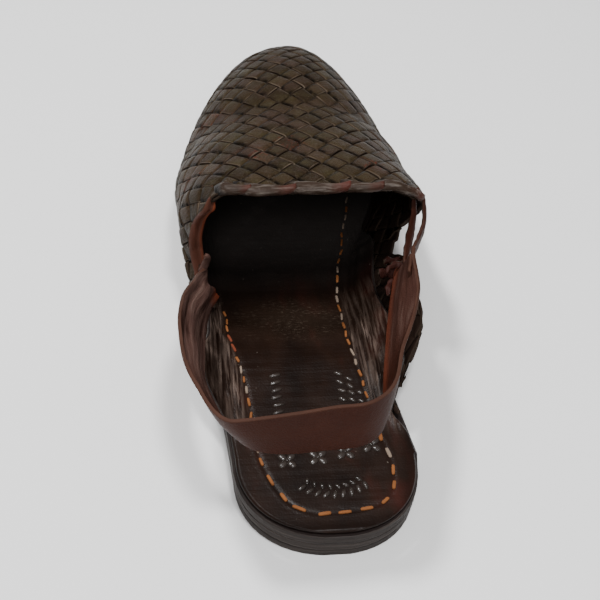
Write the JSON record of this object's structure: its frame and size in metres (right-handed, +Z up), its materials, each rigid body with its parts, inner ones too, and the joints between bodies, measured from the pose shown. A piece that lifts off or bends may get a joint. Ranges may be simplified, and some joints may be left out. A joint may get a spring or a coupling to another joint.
{
  "type": "woven leather sandal",
  "caption": "Left leather sandal with a closed woven toe, open waist and heel, flat stacked heel and one strap round the back of the foot.",
  "frame": {"origin": "under the middle of the shoe's bounding box, on the floor", "axes": "+Y towards the toe, +X towards the inner side of the foot, +Z up"},
  "size_m": [0.1022, 0.2886, 0.0705],
  "materials": {
    "sole": "cut edge of dark leather, matt",
    "footbed": "worn dark brown leather, glossy",
    "woven": "dark brown strips, half gloss",
    "strap": "smooth reddish brown leather"
  },
  "bodies": {
    "root": {"outsole": "sole", "heel_lift_1": "sole", "heel_lift_2": "sole", "insole": "footbed", "upper": "woven", "toe_border": "woven", "heel_strap": "strap"}
  },
  "joints": []
}
